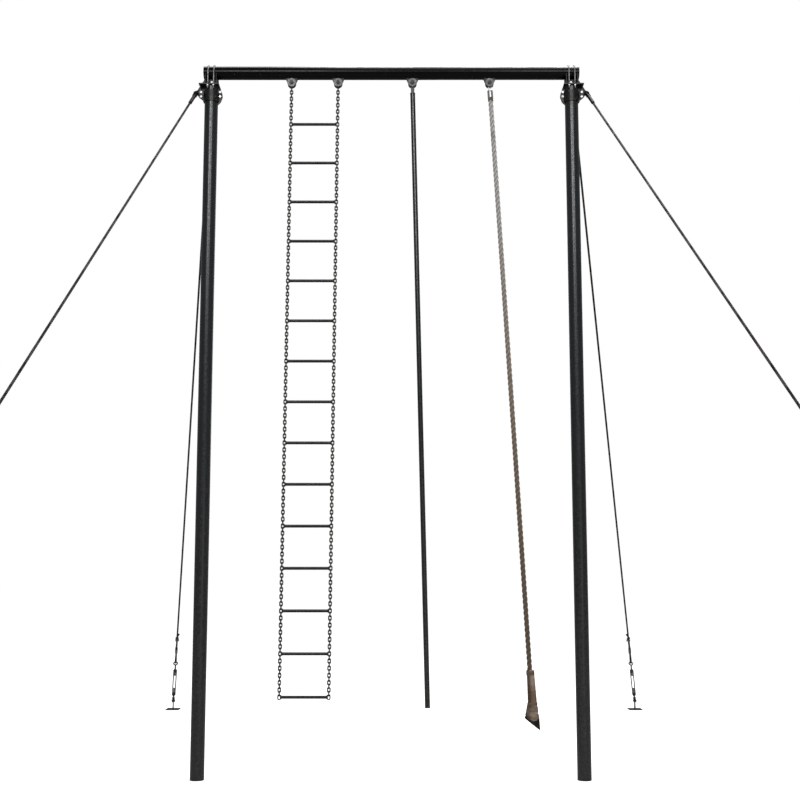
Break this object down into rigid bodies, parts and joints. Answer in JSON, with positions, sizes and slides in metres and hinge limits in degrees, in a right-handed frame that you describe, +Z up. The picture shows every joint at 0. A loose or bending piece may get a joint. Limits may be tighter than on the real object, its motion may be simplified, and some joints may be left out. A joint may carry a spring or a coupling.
{
  "type": "guyed climbing training stand",
  "caption": "Tall two-post steel stand held by four cable guys, with a chain ladder, a climbing pole and a climbing rope hung from its top beam.",
  "frame": {"origin": "on the ground at the centre of the four ground anchors; the frame stands 121 mm to the left", "axes": "+Z up, +X to the right along the beam, +Y away from the climbing side"},
  "size_m": [6.65, 9.15, 5.9802],
  "materials": {
    "black_paint": "semi-gloss dark enamel, dusty low down",
    "black_cap": "matt",
    "head_paint": "satin enamel over weldments",
    "galvanised": "hot-dip galvanised, dull spangle",
    "turnbuckle_steel": "oiled forged steel",
    "anchor_steel": "satin enamel, scuffed",
    "cable_steel": "greased dark steel strands",
    "hanger_bolt_steel": "dark oiled steel",
    "chain_steel": "dark enamel worn at the contacts",
    "rung_paint": "satin enamel, worn on top",
    "pole_paint": "semi-gloss enamel, polished by hands",
    "rope_fibre": "weathered laid hemp",
    "boot_leather": "worn brown leather binding"
  },
  "bodies": {
    "stand": {"left_post": "black_paint", "right_post": "black_paint", "beam": "black_paint", "beam_end_caps": "black_cap", "post_saddles": "head_paint", "guy_collars": "head_paint", "hanger_lugs": "head_paint", "saddle_u_bolts": "galvanised", "saddle_nuts": "galvanised", "collar_bolts": "galvanised", "cable_forks": "galvanised", "cable_thimbles": "galvanised", "cable_clamps": "galvanised", "hanger_washers": "galvanised", "ground_anchors": "anchor_steel", "guy_cable_front_left": "cable_steel", "guy_cable_front_right": "cable_steel", "guy_cable_back_left": "cable_steel", "guy_cable_back_right": "cable_steel", "hanger_bolts": "hanger_bolt_steel", "turnbuckle_screws": "turnbuckle_steel", "ladder_master_links": "chain_steel"},
    "turnbuckle_front_left": {"turnbuckle_body_front_left": "turnbuckle_steel"},
    "turnbuckle_front_right": {"turnbuckle_body_front_right": "turnbuckle_steel"},
    "turnbuckle_back_left": {"turnbuckle_body_back_left": "turnbuckle_steel"},
    "turnbuckle_back_right": {"turnbuckle_body_back_right": "turnbuckle_steel"},
    "ladder_bay_01": {"chain_bay_01": "chain_steel", "rung_01": "rung_paint"},
    "ladder_bay_02": {"chain_bay_02": "chain_steel", "rung_02": "rung_paint"},
    "ladder_bay_03": {"chain_bay_03": "chain_steel", "rung_03": "rung_paint"},
    "ladder_bay_04": {"chain_bay_04": "chain_steel", "rung_04": "rung_paint"},
    "ladder_bay_05": {"chain_bay_05": "chain_steel", "rung_05": "rung_paint"},
    "ladder_bay_06": {"chain_bay_06": "chain_steel", "rung_06": "rung_paint"},
    "ladder_bay_07": {"chain_bay_07": "chain_steel", "rung_07": "rung_paint"},
    "ladder_bay_08": {"chain_bay_08": "chain_steel", "rung_08": "rung_paint"},
    "ladder_bay_09": {"chain_bay_09": "chain_steel", "rung_09": "rung_paint"},
    "ladder_bay_10": {"chain_bay_10": "chain_steel", "rung_10": "rung_paint"},
    "ladder_bay_11": {"chain_bay_11": "chain_steel", "rung_11": "rung_paint"},
    "ladder_bay_12": {"chain_bay_12": "chain_steel", "rung_12": "rung_paint"},
    "ladder_bay_13": {"chain_bay_13": "chain_steel", "rung_13": "rung_paint"},
    "ladder_bay_14": {"chain_bay_14": "chain_steel", "rung_14": "rung_paint"},
    "ladder_bay_15": {"chain_bay_15": "chain_steel", "rung_15": "rung_paint"},
    "pole": {"climbing_pole": "pole_paint"},
    "rope": {"rope_top_fitting": "galvanised", "climbing_rope": "rope_fibre", "rope_end_boot": "boot_leather"}
  },
  "joints": [
    {"name": "turnbuckle_front_left_turn", "type": "hinge", "parent": "stand", "child": "turnbuckle_front_left", "pos_m": [-3.19246, -4.32312, 0.32249], "axis": [-0.1984, -0.6099, -0.7672], "range_deg": [-180, 180]},
    {"name": "turnbuckle_front_right_turn", "type": "hinge", "parent": "stand", "child": "turnbuckle_front_right", "pos_m": [3.18335, -4.32436, 0.32093], "axis": [0.2298, -0.6057, -0.7618], "range_deg": [-180, 180]},
    {"name": "turnbuckle_back_left_turn", "type": "hinge", "parent": "stand", "child": "turnbuckle_back_left", "pos_m": [-2.66432, 4.32298, 0.32607], "axis": [-0.1403, 0.6104, -0.7796], "range_deg": [-180, 180]},
    {"name": "turnbuckle_back_right_turn", "type": "hinge", "parent": "stand", "child": "turnbuckle_back_right", "pos_m": [2.65505, 4.32385, 0.32489], "axis": [0.1722, 0.6074, -0.7755], "range_deg": [-180, 180]},
    {"name": "ladder_swing_01", "type": "hinge", "parent": "stand", "child": "ladder_bay_01", "pos_m": [-0.781, 0, 5.7757], "axis": [1, 0, 0], "range_deg": [-20, 20]},
    {"name": "ladder_swing_02", "type": "hinge", "parent": "ladder_bay_01", "child": "ladder_bay_02", "pos_m": [-0.78375, 0, 5.4325], "axis": [1, 0, 0], "range_deg": [-20, 20]},
    {"name": "ladder_swing_03", "type": "hinge", "parent": "ladder_bay_02", "child": "ladder_bay_03", "pos_m": [-0.78651, 0, 5.0893], "axis": [1, 0, 0], "range_deg": [-20, 20]},
    {"name": "ladder_swing_04", "type": "hinge", "parent": "ladder_bay_03", "child": "ladder_bay_04", "pos_m": [-0.78927, 0, 4.7461], "axis": [1, 0, 0], "range_deg": [-20, 20]},
    {"name": "ladder_swing_05", "type": "hinge", "parent": "ladder_bay_04", "child": "ladder_bay_05", "pos_m": [-0.79202, 0, 4.4029], "axis": [1, 0, 0], "range_deg": [-20, 20]},
    {"name": "ladder_swing_06", "type": "hinge", "parent": "ladder_bay_05", "child": "ladder_bay_06", "pos_m": [-0.79478, 0, 4.0597], "axis": [1, 0, 0], "range_deg": [-20, 20]},
    {"name": "ladder_swing_07", "type": "hinge", "parent": "ladder_bay_06", "child": "ladder_bay_07", "pos_m": [-0.79753, 0, 3.7165], "axis": [1, 0, 0], "range_deg": [-20, 20]},
    {"name": "ladder_swing_08", "type": "hinge", "parent": "ladder_bay_07", "child": "ladder_bay_08", "pos_m": [-0.80029, 0, 3.3733], "axis": [1, 0, 0], "range_deg": [-20, 20]},
    {"name": "ladder_swing_09", "type": "hinge", "parent": "ladder_bay_08", "child": "ladder_bay_09", "pos_m": [-0.80304, 0, 3.0301], "axis": [1, 0, 0], "range_deg": [-20, 20]},
    {"name": "ladder_swing_10", "type": "hinge", "parent": "ladder_bay_09", "child": "ladder_bay_10", "pos_m": [-0.8058, 0, 2.6869], "axis": [1, 0, 0], "range_deg": [-20, 20]},
    {"name": "ladder_swing_11", "type": "hinge", "parent": "ladder_bay_10", "child": "ladder_bay_11", "pos_m": [-0.80855, 0, 2.3437], "axis": [1, 0, 0], "range_deg": [-20, 20]},
    {"name": "ladder_swing_12", "type": "hinge", "parent": "ladder_bay_11", "child": "ladder_bay_12", "pos_m": [-0.81131, 0, 2.0005], "axis": [1, 0, 0], "range_deg": [-20, 20]},
    {"name": "ladder_swing_13", "type": "hinge", "parent": "ladder_bay_12", "child": "ladder_bay_13", "pos_m": [-0.81407, 0, 1.6573], "axis": [1, 0, 0], "range_deg": [-20, 20]},
    {"name": "ladder_swing_14", "type": "hinge", "parent": "ladder_bay_13", "child": "ladder_bay_14", "pos_m": [-0.81682, 0, 1.3141], "axis": [1, 0, 0], "range_deg": [-20, 20]},
    {"name": "ladder_swing_15", "type": "hinge", "parent": "ladder_bay_14", "child": "ladder_bay_15", "pos_m": [-0.81958, 0, 0.9709], "axis": [1, 0, 0], "range_deg": [-20, 20]},
    {"name": "pole_swing", "type": "hinge", "parent": "stand", "child": "pole", "pos_m": [0.06, 0, 5.82], "axis": [0, -1, 0], "range_deg": [-4, 4]},
    {"name": "rope_swing", "type": "hinge", "parent": "stand", "child": "rope", "pos_m": [0.725, 0, 5.82], "axis": [0, -1, 0], "range_deg": [-3, 2.5]}
  ]
}
